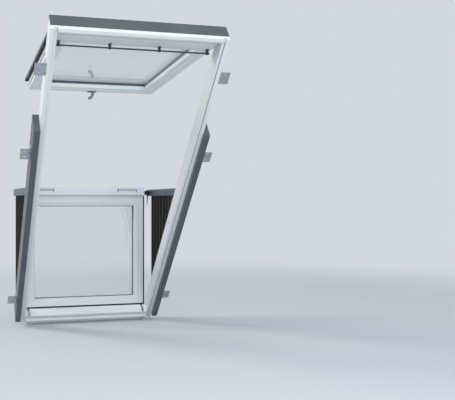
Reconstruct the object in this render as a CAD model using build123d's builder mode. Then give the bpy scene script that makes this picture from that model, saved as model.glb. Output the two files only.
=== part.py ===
from build123d import *
from math import cos, hypot, radians, sin, sqrt
import os

os.makedirs("parts", exist_ok=True)

# Roof balcony window for a pitched roof. All sizes are in millimetres and degrees.
# X runs to the right as seen from the room, Y outwards, Z up.
# The origin is the middle of the frame's lower end face.
# Along the window, s is measured up the slope from that end face, and n outwards from the
# room face of the frame. Each sash keeps the s and n that it has when it is closed.

# Roof and frame
roof_pitch = 43.0
frame_width = 942.0
frame_length = 2520.0
frame_depth = 106.0
frame_wall = 37.0
edge_round = 1.5
lining_step_width = 17.0
lining_step_depth = 14.0
seal_width = 8.0
seal_depth = 4.0
seal_stand = 0.7
head_seal_thickness = 1.5
seal_inset = 6.0
seal_end_gap = 24.0
head_seal_depth = 24.0
head_seal_end_gap = 5.0
cut_margin = 1.0

# Sill, shaped round the path of the lower sash
sill_reach = 57.0
sill_clearance = 2.0
hinge_slot_width = 16.0
hinge_slot_drop = 14.0

# Sashes
sash_gap = 4.0
sill_joint = 3.0
leaf_joint = 3.0
top_joint = 7.0
sash_stand = 6.0
sash_depth = 62.0
stile_width = 68.0
lower_sash_length = 870.0
lower_bottom_height = 65.0
lower_top_height = 79.0
transom_height = 58.0
upper_bottom_height = 85.0
upper_top_height = 158.0
bead_width = 20.0
bead_step = 3.0
bead_drop = 12.0
seat_depth = 44.0
rebate = 12.0
sash_round = 3.0

# Transom on the lower sash
transom_inset = 46.0
transom_outer_rise = 1.0
transom_ledge = 8.0
transom_ledge_height = 27.0
transom_round = 2.5

# Glazing
pane_thickness = 4.0
pane_cavity = 16.0
pane_edge_gap = 2.0
glazing_seal = 2.0
glazing_seal_lip = 3.0
glazing_seal_inset = 1.0
spacer_width = 8.0
spacer_edge = 6.0

# Outside cladding
cladding_sheet = 1.5
cladding_overlap = 22.0
cladding_edge = 4.0
cladding_rise = 16.0
cladding_bevel = 5.0
cladding_hinge_gap = 1.5
cladding_end_gap = 1.0
skirt_gap = 3.0
casing_sheet = 1.5
top_casing_rise = 7.5
top_casing_reach = 32.0
top_casing_drop = 86.0
sill_casing_reach = 16.0
sill_casing_drop = 36.0
casing_hem = 5.0

# Opening of the sashes as built: upper one propped up, lower one upright
upper_open = 40.0
upper_pivot_end = 10.0
upper_pivot_depth = 8.0
upper_pin_radius = 5.0
pin_clearance = 0.06
hinge_plate_length = 44.0
hinge_plate_height = 25.0
hinge_plate_thickness = 2.5
hinge_plate_set = 11.0
hinge_boss_wall = 0.8
pin_reach = 17.0
pin_end_gap = 3.0
shoe_length = 35.0
shoe_height = 18.0
shoe_thickness = 3.0
shoe_outer_cover = 1.0
shoe_bore_relief = 1.5

# Gooseneck hinge of the lower sash
lower_pivot_drop = 32.0
lower_pivot_inset = 20.0
lower_pin_radius = 5.0
lower_hinge_inset = 22.0
arm_thickness = 10.0
arm_eye_radius = 12.0
arm_foot_thickness = 6.0
arm_foot_room_edge = 6.0
arm_foot_outer_edge = 10.0
arm_back_bulge = 14.0
ear_thickness = 4.0
ear_gap = 3.0
ear_foot = 20.0
ear_radius = 11.0
ear_foot_rise = 20.0
ear_foot_drop = 22.0

# Vent flap with its control bar
flap_bottom_inset = 24.0
flap_height = 80.0
flap_thickness = 16.0
flap_gap = 2.0
flap_side_wall = 3.0
flap_side_gap = 1.0
flap_pin_radius = 3.0
flap_pin_end = 0.6
vent_slot_length = 90.0
vent_slot_width = 12.0
vent_slot_pitch = 112.0
vent_slot_count = 6
vent_slot_height = 42.0
bar_radius = 4.5
bar_bevel = 1.5
bar_stand_off = 20.0
bar_height = 12.0
bar_end_gap = 9.5
bar_overrun = 14.0
bar_bracket_width = 12.0
bar_bracket_count = 4
bar_bracket_foot = 34.0
bar_bracket_foot_thickness = 4.0
bar_eye_radius = 8.0
bar_bracket_web = 24.0
bar_bracket_set = 4.0

# Handle of the upper sash
handle_plate_width = 62.0
handle_plate_height = 24.0
handle_plate_thickness = 6.0
handle_plate_edge = 4.0
handle_plate_round = 6.0
handle_plate_bevel = 1.5
handle_hub_radius = 10.0
handle_hub_height = 8.0
handle_drop = 42.0
handle_side = 30.0
handle_grip_width = 20.0
handle_grip_thickness = 9.0
handle_grip_bevel = 2.5
handle_x = 5.0

# Latches of the lower sash
latch_inset = 128.0
latch_width = 138.0
latch_height = 22.0
latch_base_thickness = 7.0
latch_base_floor = 1.0
latch_rim = 4.0
latch_lever_thickness = 5.0
latch_tip_thickness = 3.75
latch_lever_gap = 0.5
latch_pin_radius = 1.6
latch_pin_wall = 1.5
latch_round = 3.0

# Side railing
rail_offset = 18.0
rail_width = 26.0
rail_height = 48.0
rail_wall = 2.5
rail_pin_gap = 0.3
rail_round = 8.0
rail_back = 930.5
rail_front = 52.0
rail_cap = 3.0
rail_pivot_drop = 40.0
rail_pivot_inset = 20.0
rail_pin_radius = 6.0
runner_radius = 10.0
runner_side = 1.0
runner_set_back = 14.0
baluster_count = 9
baluster_pitch = 83.0
baluster_first = 102.5
baluster_thickness = 9.0
baluster_width = 19.0
baluster_bevel = 2.0
baluster_pivot_drop = 10.0
baluster_pin_radius = 3.0
baluster_foot_sink = 8.0
baluster_fold = 83.0
ear_width = 10.0
ear_depth = 8.0
tie_arm = 22.0
tie_gap = 1.5
tie_thickness = 3.5
tie_height = 11.0
tie_rise = 1.5
tie_pin_radius = 2.5
tie_pin_end = 1.0
bracket_sheet = 3.0
bracket_length = 30.0
bracket_reach = 76.0
bracket_tail = 80.0
bracket_tip = 20.0
bracket_side_gap = 1.0
bracket_top_gap = 4.0

# Side pockets that take the folded railings
pocket_sheet = 2.0
pocket_width = 35.0
pocket_bottom = 50.0
pocket_top = 1850.0
pocket_stand = 9.0
pocket_depth = 139.0
pocket_flange = 54.0

# Mounting brackets, strikers and catches
angle_end_inset = 210.0
angle_top_inset = 270.0
angle_length = 80.0
angle_leg = 50.0
angle_reach = 60.0
angle_sheet = 3.0
angle_n = 12.0
angle_hole_radius = 3.5
angle_hole_spacing = 44.0
angle_hole_reach = 36.0
striker_rise = 57.0
striker_inset = 6.0
striker_radius = 6.0
striker_height = 2.5
catch_drop = 147.0
catch_length = 26.0
catch_height = 18.0
catch_foot = 12.0
catch_crown = 7.0
catch_inset = 4.0

# Derived places
pitch = radians(roof_pitch)
half_width = frame_width / 2
inner_half = half_width - frame_wall
lining_half = inner_half + lining_step_width
sash_half = inner_half - sash_gap
open_half = sash_half - stile_width
sash_outer_n = frame_depth + sash_stand
sash_room_n = sash_outer_n - sash_depth
transom_room_n = sash_room_n - transom_inset
lower_pivot_n = sash_room_n - lower_pivot_inset
hinge_slot_floor = lower_pivot_n - hinge_slot_drop
arm_foot_low_n = sash_room_n + arm_foot_room_edge
arm_foot_high_n = sash_outer_n - arm_foot_outer_edge
ear_foot_high_n = lower_pivot_n + ear_foot_rise
ear_foot_low_n = lower_pivot_n - ear_foot_drop
rail_pivot_n = sash_outer_n - rail_pivot_inset
baluster_foot_n = frame_depth - baluster_foot_sink
pocket_mouth_n = frame_depth + pocket_stand
pocket_floor_n = pocket_mouth_n - pocket_depth
pocket_inner_n = pocket_floor_n + pocket_flange
lower_hinge_x = sash_half - lower_hinge_inset
latch_x = sash_half - latch_inset
seat_n = sash_room_n + seat_depth
bead_n = sash_room_n + bead_drop
pane_low_n = seat_n + glazing_seal
pane_high_n = pane_low_n + 2 * pane_thickness + pane_cavity
lip_n = pane_high_n + glazing_seal
cladding_top_n = sash_outer_n + cladding_rise
skirt_n = frame_depth + skirt_gap
lower_low = sill_reach + sill_joint
lower_high = lower_low + lower_sash_length
transom_low = lower_high - transom_height
transom_outer_n = frame_depth + transom_outer_rise
upper_low = lower_high + leaf_joint
upper_high = frame_length - frame_wall - top_joint
lower_opening = (lower_low + lower_bottom_height, transom_low - lower_top_height)
upper_opening = (upper_low + upper_bottom_height, upper_high - upper_top_height)
upper_pivot = (upper_high - upper_pivot_end, sash_outer_n - upper_pivot_depth)
lower_pivot = (-lower_pivot_drop, lower_pivot_n)
striker_place = (upper_low + striker_rise, sash_room_n + striker_inset)
catch_s = lower_high - catch_drop


def slope_point(s, n):
    """Place of s and n on the closed window, in the middle of its width."""
    depth = n - frame_depth / 2
    return Vector(0, depth * sin(pitch) - s * cos(pitch), s * sin(pitch) + depth * cos(pitch))


def leaf_plane(tilt, pivot):
    """Plane of a leaf at its angle above level: x to the right, y up the leaf, n = 0 on it."""
    up = Vector(0, -cos(radians(tilt)), sin(radians(tilt)))
    out = Vector(0, sin(radians(tilt)), cos(radians(tilt)))
    origin = slope_point(*pivot) - up * pivot[0] - out * pivot[1]
    return Plane(origin=origin, x_dir=(1, 0, 0), z_dir=-out)


def face(leaf, n):
    """Plane parallel to the glass at n, where a sketch extrudes towards the room."""
    return leaf.offset(-n)


def along(leaf, s):
    """Section at s with the sketch axes x and n, which extrudes up the slope."""
    return Plane(leaf.from_local_coords((0, s, 0)), x_dir=(1, 0, 0), z_dir=leaf.y_dir)


def across(leaf, x):
    """Section at x with the sketch axes s and n, which extrudes to the left."""
    return Plane(leaf.from_local_coords((x, 0, 0)), x_dir=leaf.y_dir, z_dir=(-1, 0, 0))


def upright(x):
    """Level section at x with the sketch axes Y and Z, which extrudes to the right."""
    return Plane((x, 0, 0), x_dir=(0, 1, 0), z_dir=(1, 0, 0))


def outline(points):
    """Straight-sided face in the sketch that is being built."""
    Polygon(*points, align=None)


def span(left, right, low, high):
    """Rectangle between two x and two s in the sketch that is being built."""
    with Locations(((left + right) / 2, (low + high) / 2)):
        Rectangle(right - left, high - low)


def grown(opening, by):
    """Half width and both ends of a glass opening, grown by a margin."""
    return (-open_half - by, open_half + by, opening[0] - by, opening[1] + by)


def keep(piece, name):
    """Names a finished piece and writes it."""
    piece.part.label = name
    export_step(piece.part, f"parts/{name}.step")


slope = leaf_plane(roof_pitch, (0, 0))
upper = leaf_plane(roof_pitch - upper_open, upper_pivot)
lower = leaf_plane(90, lower_pivot)
sides = (("left", -1), ("right", 1))


# Frame members: grooved boards round the opening, stepped on the room side for the lining
def frame_side(side):
    seal_out = inner_half + seal_inset + seal_width
    seal_in = inner_half + seal_inset
    groove_n = frame_depth - seal_depth
    profile = [
        (half_width, 0),
        (half_width, frame_depth),
        (seal_out, frame_depth),
        (seal_out, groove_n),
        (seal_in, groove_n),
        (seal_in, frame_depth),
        (inner_half, frame_depth),
        (inner_half, lining_step_depth),
        (lining_half, lining_step_depth),
        (lining_half, 0),
    ]
    catch_out = half_width - catch_inset
    catch_in = catch_out - catch_foot
    catch_n = frame_depth + catch_height
    with BuildPart() as piece:
        with BuildSketch(along(slope, 0)) as section:
            outline([(side * x, n) for x, n in profile])
            outer_corners = section.vertices().group_by(Axis.X)[-1 if side > 0 else 0]
            fillet(outer_corners, edge_round)
        extrude(amount=frame_length)
        with BuildSketch(across(slope, side * inner_half)):
            with Locations(striker_place):
                Circle(striker_radius)
        extrude(amount=side * striker_height)
        with BuildSketch(along(slope, catch_s - catch_length / 2)):
            outline([
                (side * catch_in, frame_depth),
                (side * catch_out, frame_depth),
                (side * catch_out, catch_n),
                (side * (catch_out - catch_crown), catch_n),
            ])
        extrude(amount=catch_length)
    return piece


with BuildPart() as frame_top:
    top_low = frame_length - frame_wall
    with BuildSketch(across(slope, 0)):
        outline([
            (frame_length, 0),
            (frame_length, frame_depth),
            (top_low, frame_depth),
            (top_low, lining_step_depth),
            (top_low + lining_step_width, lining_step_depth),
            (top_low + lining_step_width, 0),
        ])
    extrude(amount=inner_half, both=True)

# The sill's upper edge is an arc about the hinge, just inside the path of the lower sash.
with BuildPart() as frame_sill:
    sash_reach = hypot(lower_low - lower_pivot[0], sash_room_n - lower_pivot[1])
    arc_radius = sash_reach - sill_clearance
    arc_low = (sill_reach, lower_pivot[1] + sqrt(arc_radius**2 - (sill_reach - lower_pivot[0])**2))
    arc_high = (lower_pivot[0] + sqrt(arc_radius**2 - (frame_depth - lower_pivot[1])**2), frame_depth)
    chord_s = (arc_low[0] + arc_high[0]) / 2 - lower_pivot[0]
    chord_n = (arc_low[1] + arc_high[1]) / 2 - lower_pivot[1]
    arc_grow = arc_radius / hypot(chord_s, chord_n)
    arc_mid = (lower_pivot[0] + chord_s * arc_grow, lower_pivot[1] + chord_n * arc_grow)
    sill_step = sill_reach - frame_wall
    with BuildSketch(across(slope, 0)):
        with BuildLine():
            ThreePointArc(arc_low, arc_mid, arc_high)
            Polyline(
                arc_high,
                (0, frame_depth),
                (0, 0),
                (sill_step, 0),
                (sill_step, lining_step_depth),
                (sill_reach, lining_step_depth),
                arc_low,
            )
        make_face()
    extrude(amount=inner_half, both=True)
    slot_top = frame_depth + cut_margin
    for side in (-1, 1):
        with BuildSketch(along(slope, -cut_margin)):
            with Locations((side * lower_hinge_x, (hinge_slot_floor + slot_top) / 2)):
                Rectangle(hinge_slot_width, slot_top - hinge_slot_floor)
        extrude(amount=sill_reach + 2 * cut_margin, mode=Mode.SUBTRACT)

# Weather seal: a strip in each side groove and one across the head
with BuildPart() as frame_seal:
    strip_low = sill_reach + seal_end_gap
    strip_high = upper_pivot[0] - seal_end_gap
    strip_x = inner_half + seal_inset + seal_width / 2
    strip_n = frame_depth + (seal_stand - seal_depth) / 2
    for side in (-1, 1):
        with BuildSketch(along(slope, strip_low)):
            with Locations((side * strip_x, strip_n)):
                Rectangle(seal_width, seal_depth + seal_stand)
        extrude(amount=strip_high - strip_low)
    with BuildSketch(across(slope, 0)):
        head_seal_s = frame_length - frame_wall - head_seal_thickness / 2
        with Locations((head_seal_s, sash_outer_n - head_seal_depth)):
            Rectangle(head_seal_thickness, seal_width)
    extrude(amount=sash_half - head_seal_end_gap, both=True)


# Side pocket: a J-shaped sheet channel with closed ends, screwed to the outside of the frame
def pocket(side):
    inner = half_width
    outer = half_width + pocket_width
    with BuildPart() as piece:
        with BuildSketch(along(slope, pocket_bottom)):
            outline([
                (side * inner, pocket_inner_n),
                (side * inner, pocket_floor_n),
                (side * outer, pocket_floor_n),
                (side * outer, pocket_mouth_n),
                (side * (outer - pocket_sheet), pocket_mouth_n),
                (side * (outer - pocket_sheet), pocket_floor_n + pocket_sheet),
                (side * (inner + pocket_sheet), pocket_floor_n + pocket_sheet),
                (side * (inner + pocket_sheet), pocket_inner_n),
            ])
        extrude(amount=pocket_top - pocket_bottom)
        for end in (pocket_bottom, pocket_top - pocket_sheet):
            with BuildSketch(along(slope, end)):
                with Locations((side * (inner + outer) / 2, (pocket_floor_n + pocket_mouth_n) / 2)):
                    Rectangle(pocket_width, pocket_mouth_n - pocket_floor_n)
            extrude(amount=pocket_sheet)
    return piece


# Folded sheet casings over the head and the sill of the frame
with BuildPart() as frame_casings:
    head_n = frame_depth + top_casing_rise
    head_end = frame_length + casing_sheet
    head_low = frame_length - top_casing_reach
    with BuildSketch(across(slope, 0)):
        outline([
            (frame_length, head_n - top_casing_drop),
            (head_end, head_n - top_casing_drop),
            (head_end, head_n),
            (head_low, head_n),
            (head_low, head_n - casing_hem),
            (head_low + casing_sheet, head_n - casing_hem),
            (head_low + casing_sheet, head_n - casing_sheet),
            (frame_length, head_n - casing_sheet),
        ])
    extrude(amount=half_width, both=True)
    sill_n = frame_depth + casing_sheet
    with BuildSketch(across(slope, 0)):
        outline([
            (sill_casing_reach, frame_depth),
            (sill_casing_reach, sill_n),
            (-casing_sheet, sill_n),
            (-casing_sheet, sill_n - sill_casing_drop),
            (0, sill_n - sill_casing_drop),
            (0, frame_depth),
        ])
    extrude(amount=half_width, both=True)
    for side in (-1, 1):
        with BuildSketch(face(slope, sill_n + cut_margin)):
            with Locations((side * lower_hinge_x, 0)):
                Rectangle(hinge_slot_width, 2 * (sill_casing_reach + cut_margin))
        extrude(amount=frame_depth, mode=Mode.SUBTRACT)

# Angle brackets that stand on the roof battens, three on each side
with BuildPart() as mounting_brackets:
    places = (
        (pocket_bottom + angle_end_inset, half_width + pocket_width),
        (pocket_top - angle_end_inset, half_width + pocket_width),
        (frame_length - angle_top_inset, half_width),
    )
    for station, root in places:
        for side in (-1, 1):
            with BuildSketch(along(slope, station - angle_length / 2)):
                outline([
                    (side * root, angle_n),
                    (side * (root + angle_reach), angle_n),
                    (side * (root + angle_reach), angle_n + angle_sheet),
                    (side * (root + angle_sheet), angle_n + angle_sheet),
                    (side * (root + angle_sheet), angle_n + angle_leg),
                    (side * root, angle_n + angle_leg),
                ])
            extrude(amount=angle_length)
            with BuildSketch(face(slope, angle_n + angle_sheet)):
                with Locations((side * (root + angle_hole_reach), station)):
                    with GridLocations(0, angle_hole_spacing, 1, 2):
                        Circle(angle_hole_radius)
            extrude(amount=angle_sheet, mode=Mode.SUBTRACT)

# Hinge plates of the upper sash, on the inner faces of the frame, with their pins
with BuildPart() as top_hinge_plates:
    for side in (-1, 1):
        plate_middle = (upper_pivot[0] - hinge_plate_set, upper_pivot[1] - hinge_plate_height / 2)
        with BuildSketch(across(slope, side * inner_half)) as plate:
            with Locations(plate_middle):
                Rectangle(hinge_plate_length, hinge_plate_height)
            fillet(plate.vertices(), sash_round)
            with Locations(upper_pivot):
                Circle(upper_pin_radius + hinge_boss_wall)
        extrude(amount=side * hinge_plate_thickness)
        with BuildSketch(across(slope, side * (inner_half - hinge_plate_thickness))):
            with Locations(upper_pivot):
                Circle(upper_pin_radius)
        extrude(amount=side * (sash_gap - hinge_plate_thickness + pin_reach))

# Ears on the lower end face that carry the pins of the gooseneck arms
with BuildPart() as sill_hinge_brackets:
    ear_inner = arm_thickness / 2 + ear_gap
    for centre in (-lower_hinge_x, lower_hinge_x):
        for side in (-1, 1):
            ear_root = centre + side * ear_inner
            with BuildSketch(across(slope, ear_root)):
                with BuildLine():
                    Polyline(
                        (lower_pivot[0], lower_pivot[1] + ear_radius),
                        (0, ear_foot_high_n),
                        (0, ear_foot_low_n),
                        (lower_pivot[0], lower_pivot[1] - ear_radius),
                    )
                    ThreePointArc(
                        (lower_pivot[0], lower_pivot[1] - ear_radius),
                        (lower_pivot[0] - ear_radius, lower_pivot[1]),
                        (lower_pivot[0], lower_pivot[1] + ear_radius),
                    )
                make_face()
            extrude(amount=-side * ear_thickness)
            with BuildSketch(face(slope, ear_foot_high_n)):
                with Locations((ear_root + side * ear_foot / 2, -ear_thickness / 2)):
                    Rectangle(ear_foot, ear_thickness)
            extrude(amount=ear_foot_high_n - ear_foot_low_n)
        with BuildSketch(across(slope, centre)):
            with Locations(lower_pivot):
                Circle(lower_pin_radius)
        extrude(amount=ear_inner + ear_thickness, both=True)


# Sashes: hardwood rings with a glass opening, a rebate and a stepped bead, cut into members
def sash_ring(leaf, low, high, opening):
    with BuildPart() as ring:
        with BuildSketch(face(leaf, sash_outer_n)):
            span(-sash_half, sash_half, low, high)
        extrude(amount=sash_depth)
        room_face = faces().sort_by(Axis(leaf.origin, leaf.z_dir))[-1]
        fillet(room_face.edges(), sash_round)
        with BuildSketch(face(leaf, sash_outer_n)):
            span(*grown(opening, 0))
        extrude(amount=sash_depth, mode=Mode.SUBTRACT)
        with BuildSketch(face(leaf, sash_outer_n)):
            span(*grown(opening, rebate))
        extrude(amount=sash_outer_n - seat_n, mode=Mode.SUBTRACT)
        with BuildSketch(face(leaf, sash_room_n + bead_step)):
            span(*grown(opening, bead_width))
        extrude(amount=bead_step, mode=Mode.SUBTRACT)
        with BuildSketch(face(leaf, bead_n)):
            span(*grown(opening, 0))
        with BuildSketch(face(leaf, sash_room_n + bead_step)):
            span(*grown(opening, bead_width))
        loft(mode=Mode.SUBTRACT)
    return ring.part


def member(leaf, ring, left, right, low, high):
    """The stretch of a sash between two x and two s."""
    with BuildPart() as stretch:
        add(ring)
        with BuildSketch(face(leaf, sash_outer_n)):
            span(left, right, low, high)
        extrude(amount=sash_depth, mode=Mode.INTERSECT)
    return stretch.part


upper_ring = sash_ring(upper, upper_low, upper_high, upper_opening)
lower_ring = sash_ring(lower, lower_low, transom_low, lower_opening)
flap_low = upper_opening[1] + flap_bottom_inset
flap_pivot = (flap_low + flap_height - flap_thickness / 2, sash_room_n + flap_thickness / 2)
flap_half = sash_half - flap_side_wall - flap_side_gap


# Recess in the top of the upper sash that the vent flap shuts into
with BuildPart() as flap_recess:
    with BuildSketch(face(upper, sash_room_n + flap_thickness + flap_gap)):
        span(
            -sash_half + flap_side_wall,
            sash_half - flap_side_wall,
            flap_low - flap_gap,
            flap_low + flap_height + flap_gap,
        )
    extrude(amount=flap_thickness + flap_gap)


def shoe_outline():
    """Plate round the upper pivot, let into the side of the stile."""
    low_s = upper_high - shoe_outer_cover - shoe_length
    low_n = sash_outer_n - shoe_outer_cover - shoe_height
    with Locations((low_s + shoe_length / 2, low_n + shoe_height / 2)):
        Rectangle(shoe_length, shoe_height)


def upper_stile(side):
    inner, outer = sorted((side * open_half, side * sash_half))
    with BuildPart() as piece:
        add(member(upper, upper_ring, inner, outer, upper_low, upper_high))
        add(flap_recess.part, mode=Mode.SUBTRACT)
        with BuildSketch(across(upper, side * sash_half)):
            with Locations(flap_pivot):
                Circle(flap_pin_radius + pin_clearance)
        extrude(amount=side * flap_side_wall, mode=Mode.SUBTRACT)
        with BuildSketch(across(upper, side * sash_half)):
            shoe_outline()
        extrude(amount=side * shoe_thickness, mode=Mode.SUBTRACT)
        with BuildSketch(across(upper, side * sash_half)):
            with Locations(upper_pivot):
                Circle(upper_pin_radius + shoe_bore_relief)
        extrude(amount=side * (pin_reach + pin_end_gap), mode=Mode.SUBTRACT)
    return piece


with BuildPart() as upper_top_rail:
    add(member(upper, upper_ring, -open_half, open_half, upper_opening[1], upper_high))
    add(flap_recess.part, mode=Mode.SUBTRACT)
    with BuildSketch(face(upper, sash_outer_n)):
        with Locations((0, flap_low + vent_slot_height)):
            with GridLocations(vent_slot_pitch, 0, vent_slot_count, 1):
                SlotOverall(vent_slot_length, vent_slot_width)
    extrude(amount=sash_depth, mode=Mode.SUBTRACT)

with BuildPart() as upper_bottom_rail:
    add(member(upper, upper_ring, -open_half, open_half, upper_low, upper_opening[0]))

with BuildPart() as upper_hinge_shoes:
    for side in (-1, 1):
        with BuildSketch(across(upper, side * sash_half)):
            shoe_outline()
            with Locations(upper_pivot):
                Circle(upper_pin_radius + pin_clearance, mode=Mode.SUBTRACT)
        extrude(amount=side * shoe_thickness)


def lower_stile(side):
    inner, outer = sorted((side * open_half, side * sash_half))
    with BuildPart() as piece:
        add(member(lower, lower_ring, inner, outer, lower_low, transom_low))
    return piece


with BuildPart() as lower_bottom_rail:
    add(member(lower, lower_ring, -open_half, open_half, lower_low, lower_opening[0]))

# The transom is one piece with the top rail and closes the joint between the sashes.
with BuildPart() as lower_top_rail:
    add(member(lower, lower_ring, -open_half, open_half, lower_opening[1], transom_low))
    ledge_s = lower_high - transom_ledge_height
    ledge_n = transom_room_n + transom_ledge
    with BuildSketch(across(lower, 0)) as transom:
        outline([
            (transom_low, transom_outer_n),
            (lower_high, transom_outer_n),
            (lower_high, ledge_n),
            (ledge_s, ledge_n),
            (ledge_s, transom_room_n),
            (transom_low, transom_room_n),
        ])
        room_corners = transom.vertices().group_by(Axis.Y)[:-1]
        fillet([corner for group in room_corners for corner in group], transom_round)
    extrude(amount=sash_half, both=True)


# Glazing: two panes, a spacer frame between them, and a seal on each face
def panes(leaf, opening):
    edge = rebate - pane_edge_gap
    with BuildPart() as piece:
        for high in (pane_low_n + pane_thickness, pane_high_n):
            with BuildSketch(face(leaf, high)):
                span(*grown(opening, edge))
            extrude(amount=pane_thickness)
    return piece


def ring_sketch(leaf, n, opening, outer, inner):
    """Flat ring at n between two margins round a glass opening."""
    with BuildSketch(face(leaf, n)) as ring:
        span(*grown(opening, outer))
        left, right, low, high = grown(opening, inner)
        with Locations(((left + right) / 2, (low + high) / 2)):
            Rectangle(right - left, high - low, mode=Mode.SUBTRACT)
    return ring.sketch


def spacer(leaf, opening):
    outer = rebate - pane_edge_gap - spacer_edge
    cavity_n = pane_high_n - pane_thickness
    with BuildPart() as piece:
        extrude(ring_sketch(leaf, cavity_n, opening, outer, outer - spacer_width), amount=pane_cavity)
    return piece


def glazing_seals(leaf, opening):
    outer = rebate - glazing_seal_inset
    with BuildPart() as piece:
        extrude(ring_sketch(leaf, pane_low_n, opening, outer, -glazing_seal_lip), amount=glazing_seal)
        lip = ring_sketch(leaf, lip_n, opening, outer, cladding_edge - glazing_seal_lip)
        extrude(lip, amount=glazing_seal)
    return piece


# Cladding: a sheet frame that presses on the outer glazing seal and laps the frame. Its skirt runs
# round the sides and the lower end, and its upper end closes down on the sash.
def cladding(leaf, low, high, opening):
    out = sash_half + cladding_overlap
    with BuildPart() as piece:
        with BuildSketch(face(leaf, cladding_top_n)):
            span(-out, out, low, high)
        extrude(amount=cladding_top_n - skirt_n)
        top_face = faces().sort_by(Axis(leaf.origin, leaf.z_dir))[0]
        chamfer(top_face.edges(), cladding_bevel)
        with BuildSketch(face(leaf, cladding_top_n - cladding_sheet)):
            span(-out + cladding_bevel, out - cladding_bevel, low + cladding_bevel, high - cladding_bevel)
        with BuildSketch(face(leaf, cladding_top_n - cladding_bevel)):
            span(-out + cladding_sheet, out - cladding_sheet, low + cladding_sheet, high - cladding_sheet)
        loft(mode=Mode.SUBTRACT)
        with BuildSketch(face(leaf, cladding_top_n - cladding_bevel)):
            span(-out + cladding_sheet, out - cladding_sheet, low + cladding_sheet, high - cladding_sheet)
        extrude(amount=sash_depth, mode=Mode.SUBTRACT)
        with BuildSketch(face(leaf, sash_outer_n)):
            end_half = inner_half + cladding_end_gap
            span(-end_half, end_half, high - cladding_bevel, high + cut_margin)
        extrude(amount=sash_depth, mode=Mode.SUBTRACT)
        lip = ring_sketch(leaf, cladding_top_n, opening, cladding_edge + cladding_sheet, cladding_edge)
        extrude(lip, amount=cladding_top_n - lip_n)
        with BuildSketch(face(leaf, cladding_top_n)):
            span(*grown(opening, cladding_edge))
        extrude(amount=sash_depth, mode=Mode.SUBTRACT)
    return piece


# Vent flap: a board with a round upper edge that turns on two short pins
with BuildPart() as vent_flap:
    with BuildSketch(across(upper, 0)):
        with Locations(((flap_low + flap_pivot[0]) / 2, flap_pivot[1])):
            Rectangle(flap_pivot[0] - flap_low, flap_thickness)
        with Locations(flap_pivot):
            Circle(flap_thickness / 2)
    extrude(amount=flap_half, both=True)
    with BuildSketch(across(upper, 0)):
        with Locations(flap_pivot):
            Circle(flap_pin_radius)
    extrude(amount=sash_half - flap_pin_end, both=True)

bar_place = (flap_low + bar_height, sash_room_n - bar_stand_off)
bar_half = sash_half - bar_end_gap
bar_bracket_pitch = 2 * (bar_half - bar_overrun) / (bar_bracket_count - 1)

# Brackets that hold the control bar off the flap: a foot, a tapered web and an eye
with BuildPart() as flap_brackets:
    foot_high = flap_low + bar_bracket_foot
    foot_n = sash_room_n - bar_bracket_foot_thickness
    for index in range(bar_bracket_count):
        station = bar_bracket_pitch * index - bar_half + bar_overrun
        with BuildSketch(across(upper, station)):
            with Locations(((flap_low + foot_high) / 2, (sash_room_n + foot_n) / 2)):
                Rectangle(bar_bracket_foot, bar_bracket_foot_thickness)
            outline([
                (bar_place[0] - bar_eye_radius, bar_place[1]),
                (flap_low + bar_bracket_set, foot_n),
                (flap_low + bar_bracket_set + bar_bracket_web, foot_n),
                (bar_place[0] + bar_eye_radius, bar_place[1]),
            ])
            with Locations(bar_place):
                Circle(bar_eye_radius)
                Circle(bar_radius + pin_clearance, mode=Mode.SUBTRACT)
        extrude(amount=bar_bracket_width / 2, both=True)

with BuildPart() as control_bar:
    with BuildSketch(across(upper, 0)):
        with Locations(bar_place):
            Circle(bar_radius)
    extrude(amount=bar_half, both=True)
    ends = faces().filter_by(Axis.X)
    chamfer(ends.edges(), bar_bevel)

handle_s = upper_low + handle_plate_edge + handle_plate_height / 2
handle_room_n = sash_room_n - handle_plate_thickness

# Handle: a plate on the bottom rail and a curved lever that turns on it
with BuildPart() as handle_plate:
    with BuildSketch(face(upper, sash_room_n)):
        with Locations((0, handle_s)):
            RectangleRounded(handle_plate_width, handle_plate_height, handle_plate_round)
    extrude(amount=handle_plate_thickness)
    room_side = faces().sort_by(Axis(upper.origin, upper.z_dir))[-1]
    chamfer(room_side.edges(), handle_plate_bevel)

with BuildPart() as handle_lever:
    with BuildSketch(face(upper, handle_room_n)):
        with Locations((handle_x, handle_s)):
            Circle(handle_hub_radius)
    extrude(amount=handle_hub_height)
    neck_n = handle_room_n - handle_hub_height / 2
    with BuildLine(along(upper, handle_s)) as lever_path:
        neck = Line((handle_x, neck_n), (handle_x, neck_n - handle_hub_height))
        TangentArc(neck @ 1, (handle_x - handle_side, handle_room_n - handle_drop), tangent=neck % 1)
    with BuildSketch(Plane(lever_path.line @ 0, x_dir=upper.y_dir, z_dir=lever_path.line % 0)):
        grip = Rectangle(handle_grip_thickness, handle_grip_width)
        chamfer(grip.vertices(), handle_grip_bevel)
    sweep(path=lever_path.line)

latch_s = lower_high - transom_ledge_height / 2
lever_s = latch_s - latch_height / 2 + latch_rim + latch_lever_gap + latch_lever_thickness / 2
lever_n = ledge_n - latch_base_floor - latch_lever_gap - latch_lever_thickness / 2

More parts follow.
